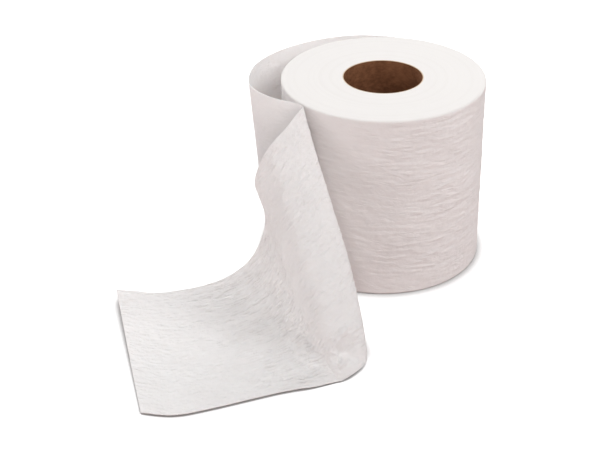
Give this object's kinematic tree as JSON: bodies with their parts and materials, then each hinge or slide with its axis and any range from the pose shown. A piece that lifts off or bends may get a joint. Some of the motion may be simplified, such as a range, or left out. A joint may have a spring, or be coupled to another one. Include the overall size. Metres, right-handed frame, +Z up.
{
  "type": "toilet paper roll",
  "caption": "Toilet paper wound on a cardboard tube, standing on end, with its outermost turn pulled loose, turned over in a soft diagonal fold and laid out flat.",
  "frame": {"origin": "on the roll's axis, on the surface that its lower end stands on", "axes": "+Z up along the roll's axis; the loose end lies towards -X and -Y, and the side that the picture shows faces -Y"},
  "size_m": [0.1969, 0.2157, 0.102],
  "materials": {
    "paper": "soft uncoated tissue, off-white, finely crinkled",
    "core": "matt brown kraft board"
  },
  "bodies": {
    "root": {"paper": "paper", "core": "core"}
  },
  "joints": []
}
